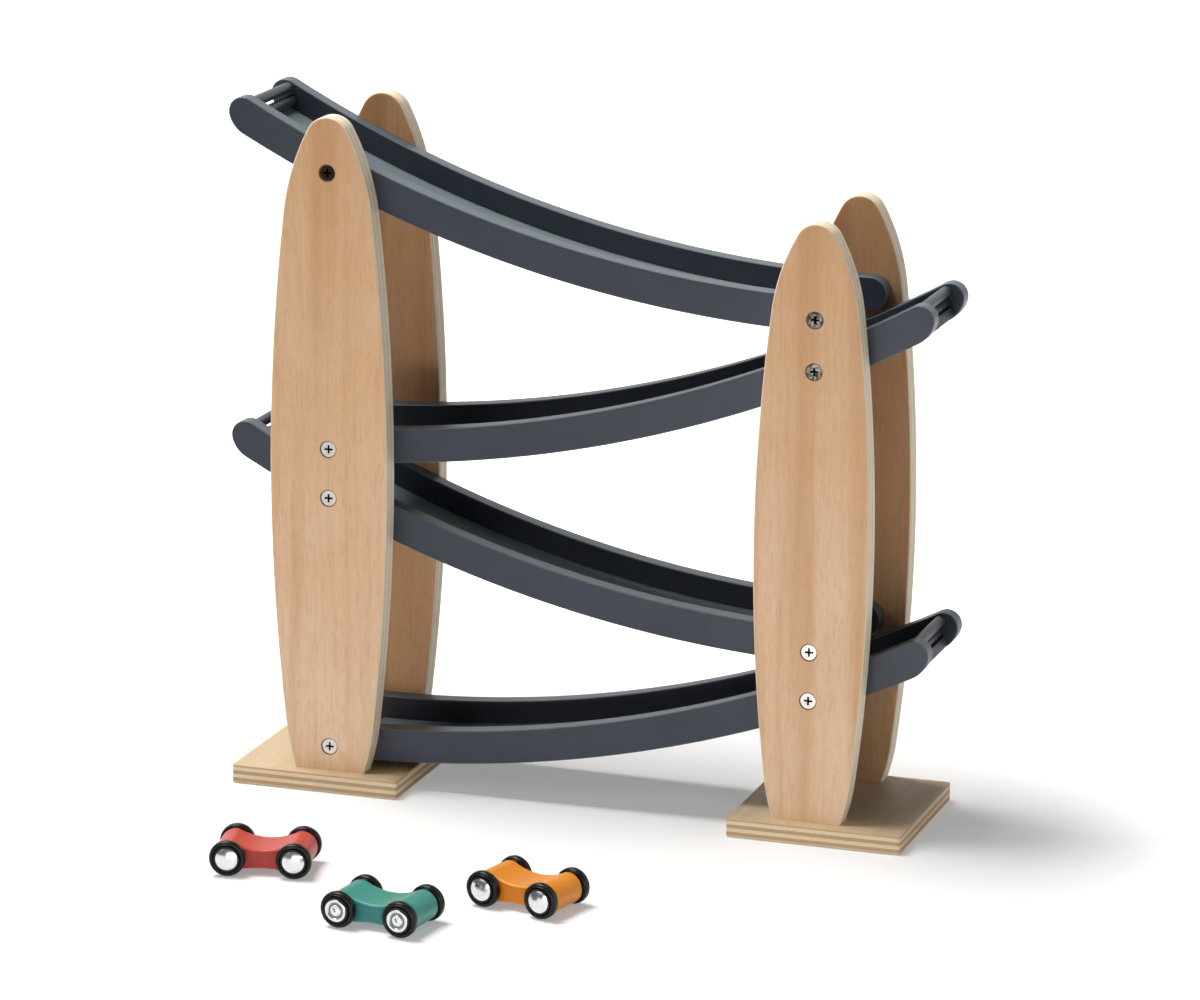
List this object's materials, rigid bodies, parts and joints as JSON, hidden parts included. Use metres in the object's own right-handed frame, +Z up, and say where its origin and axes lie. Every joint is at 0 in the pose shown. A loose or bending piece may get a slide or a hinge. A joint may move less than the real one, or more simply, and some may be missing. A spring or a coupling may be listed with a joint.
{
  "type": "click clack track toy",
  "caption": "Click clack track: plywood uprights carry zigzag curved grey ramps with dowel-stopped ends; small wooden cars with chrome wheel caps stand in front.",
  "frame": {"origin": "middle of the whole set's footprint on the floor, the track and the cars in front of it together", "axes": "+X along the track towards the lower pair of uprights, +Y from the cars back to the track, +Z up"},
  "size_m": [0.3199, 0.2613, 0.3062],
  "materials": {
    "base_ply": "satin",
    "upright_ply": "satin",
    "ramp_paint": "painted, satin",
    "screw_steel": "satin",
    "red_paint": "painted, satin",
    "green_paint": "painted, satin",
    "orange_paint": "painted, satin",
    "tyre_rubber": "matte",
    "hub_plastic": "gloss",
    "cap_chrome": "mirror",
    "axle_steel": "satin"
  },
  "bodies": {
    "stand": {"left_base": "base_ply", "right_base": "base_ply", "near_left_upright": "upright_ply", "far_left_upright": "upright_ply", "near_right_upright": "upright_ply", "far_right_upright": "upright_ply", "ramp_1_near_wall": "ramp_paint", "ramp_1_far_wall": "ramp_paint", "ramp_1_floor": "ramp_paint", "ramp_1_tip_dowel": "ramp_paint", "ramp_1_stop_dowel": "ramp_paint", "ramp_2_near_wall": "ramp_paint", "ramp_2_far_wall": "ramp_paint", "ramp_2_floor": "ramp_paint", "ramp_2_tip_dowel": "ramp_paint", "ramp_2_stop_dowel": "ramp_paint", "ramp_3_near_wall": "ramp_paint", "ramp_3_far_wall": "ramp_paint", "ramp_3_floor": "ramp_paint", "ramp_3_tip_dowel": "ramp_paint", "ramp_3_stop_dowel": "ramp_paint", "ramp_4_near_wall": "ramp_paint", "ramp_4_far_wall": "ramp_paint", "ramp_4_floor": "ramp_paint", "ramp_4_tip_dowel": "ramp_paint", "ramp_4_stop_dowel": "ramp_paint", "ramp_screws": "screw_steel", "base_screws": "screw_steel"},
    "red_car": {"red_car_body": "red_paint"},
    "red_car_front_wheels": {"red_car_front_axle": "axle_steel", "red_car_front_hubs": "hub_plastic", "red_car_front_tyres": "tyre_rubber", "red_car_front_caps": "cap_chrome"},
    "red_car_rear_wheels": {"red_car_rear_axle": "axle_steel", "red_car_rear_hubs": "hub_plastic", "red_car_rear_tyres": "tyre_rubber", "red_car_rear_caps": "cap_chrome"},
    "green_car": {"green_car_body": "green_paint"},
    "green_car_front_wheels": {"green_car_front_axle": "axle_steel", "green_car_front_hubs": "hub_plastic", "green_car_front_tyres": "tyre_rubber", "green_car_front_caps": "cap_chrome"},
    "green_car_rear_wheels": {"green_car_rear_axle": "axle_steel", "green_car_rear_hubs": "hub_plastic", "green_car_rear_tyres": "tyre_rubber", "green_car_rear_caps": "cap_chrome"},
    "orange_car": {"orange_car_body": "orange_paint"},
    "orange_car_front_wheels": {"orange_car_front_axle": "axle_steel", "orange_car_front_hubs": "hub_plastic", "orange_car_front_tyres": "tyre_rubber", "orange_car_front_caps": "cap_chrome"},
    "orange_car_rear_wheels": {"orange_car_rear_axle": "axle_steel", "orange_car_rear_hubs": "hub_plastic", "orange_car_rear_tyres": "tyre_rubber", "orange_car_rear_caps": "cap_chrome"}
  },
  "joints": [
    {"name": "red_car_roll", "type": "slide", "parent": "stand", "child": "red_car", "axis": [0.9803, 0.1977, 0], "range_m": [-0.1, 0.03]},
    {"name": "red_car_front_spin", "type": "hinge", "parent": "red_car", "child": "red_car_front_wheels", "pos_m": [-0.07993, -0.05948, 0.0077], "axis": [-0.1977, 0.9803, 0], "continuous": true},
    {"name": "red_car_rear_spin", "type": "hinge", "parent": "red_car", "child": "red_car_rear_wheels", "pos_m": [-0.10787, -0.06512, 0.0077], "axis": [-0.1977, 0.9803, 0], "continuous": true},
    {"name": "green_car_roll", "type": "slide", "parent": "stand", "child": "green_car", "axis": [0.9919, -0.1271, 0], "range_m": [-0.05, 0.15]},
    {"name": "green_car_front_spin", "type": "hinge", "parent": "green_car", "child": "green_car_front_wheels", "pos_m": [-0.00747, -0.11521, 0.0077], "axis": [0.1271, 0.9919, 0], "continuous": true},
    {"name": "green_car_rear_spin", "type": "hinge", "parent": "green_car", "child": "green_car_rear_wheels", "pos_m": [-0.03573, -0.11159, 0.0077], "axis": [0.1271, 0.9919, 0], "continuous": true},
    {"name": "orange_car_roll", "type": "slide", "parent": "stand", "child": "orange_car", "axis": [0.9703, -0.2419, 0], "range_m": [-0.01, 0.12]},
    {"name": "orange_car_front_spin", "type": "hinge", "parent": "orange_car", "child": "orange_car_front_wheels", "pos_m": [0.04013, -0.07345, 0.0077], "axis": [0.2419, 0.9703, 0], "continuous": true},
    {"name": "orange_car_rear_spin", "type": "hinge", "parent": "orange_car", "child": "orange_car_rear_wheels", "pos_m": [0.01247, -0.06655, 0.0077], "axis": [0.2419, 0.9703, 0], "continuous": true}
  ]
}
